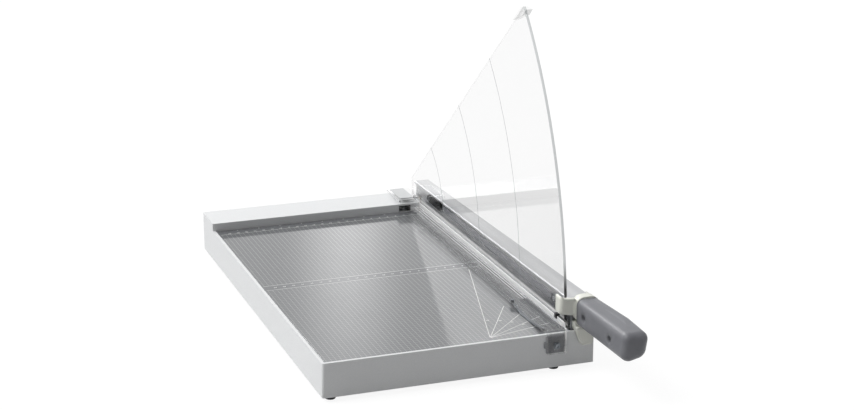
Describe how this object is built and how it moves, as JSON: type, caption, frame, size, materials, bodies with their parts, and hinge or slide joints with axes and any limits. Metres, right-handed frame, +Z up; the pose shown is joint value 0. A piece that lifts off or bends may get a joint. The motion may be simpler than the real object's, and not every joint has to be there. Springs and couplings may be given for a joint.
{
  "type": "paper trimmer",
  "caption": "Lever paper trimmer with a glass table in a sheet steel base, a hinged blade arm, a clear fan guard and a sprung clear pressure clamp",
  "frame": {"origin": "centre of the bounding box in plan, on the surface that the feet stand on", "axes": "+Z up; +Y from the handle to the pivot, along the cut; +X to the right, from the table to the arm"},
  "size_m": [0.286, 0.5993, 0.3411],
  "materials": {
    "pale_steel": "fine pale grey powder coat",
    "glass": "dark grey tempered glass, polished",
    "clear": "clear polished acrylic sheet",
    "bare_steel": "ground and plated steel",
    "arm_steel": "satin drawn aluminium",
    "dark_steel": "dark phosphated steel",
    "bronze": "plain bearing bronze",
    "rubber": "matte black rubber",
    "black_plastic": "matte black moulded plastic",
    "white_plastic": "warm white moulded plastic",
    "grip_plastic": "fine grained grey moulded plastic"
  },
  "bodies": {
    "base": {"housing": "pale_steel", "bottom_plate": "pale_steel", "bottom_plate_screws": "bare_steel", "rubber_feet": "rubber", "foot_screws": "bare_steel", "table_channels": "bare_steel", "glass_pads": "rubber", "glass_table": "glass", "knife_beam": "dark_steel", "knife_beam_screws": "bare_steel", "lower_knife": "bare_steel", "lower_knife_screws": "bare_steel", "pivot_block": "dark_steel", "pivot_block_screws": "bare_steel", "pivot_bolt": "bare_steel", "pivot_spacer": "bare_steel", "disc_springs": "dark_steel", "pivot_nut": "bare_steel", "pivot_washer": "bare_steel", "buffer_post": "dark_steel", "arm_buffer": "rubber", "guide_pad": "black_plastic", "guide_screw": "bare_steel", "guide_washer": "bare_steel", "guide_nut": "bare_steel", "rear_guide_bracket": "dark_steel", "rear_guide_pin": "bare_steel", "rear_lift_spring": "bare_steel"},
    "arm": {"blade_arm": "arm_steel", "upper_blade": "bare_steel", "blade_screws": "bare_steel", "backing_strip": "bare_steel", "strip_screws": "bare_steel", "blade_set_block": "black_plastic", "blade_set_screws": "bare_steel", "pivot_bush": "bronze", "end_bracket": "white_plastic", "bracket_screws": "bare_steel", "grip_left": "grip_plastic", "grip_right": "grip_plastic", "grip_screws": "dark_steel"},
    "clamp": {"clamp_plate": "clear", "clamp_rail": "clear", "fan_guard": "clear", "fan_stop_clip": "clear", "rear_tab": "clear", "tab_panel": "pale_steel", "tab_button": "clear", "wire_block": "black_plastic", "stop_wire": "dark_steel", "strip_spring": "dark_steel"}
  },
  "joints": [
    {"name": "arm_hinge", "type": "hinge", "parent": "base", "child": "arm", "pos_m": [0.1137, 0.27515, 0.0391], "axis": [-1, 0, 0], "range_deg": [0, 36.5]},
    {"name": "clamp_slide", "type": "slide", "parent": "base", "child": "clamp", "axis": [0, 0, -1], "range_m": [0, 0.003], "stiffness_N_per_m": 1500, "springref_m": -0.012, "deforming": ["rear_lift_spring", "strip_spring"]}
  ]
}
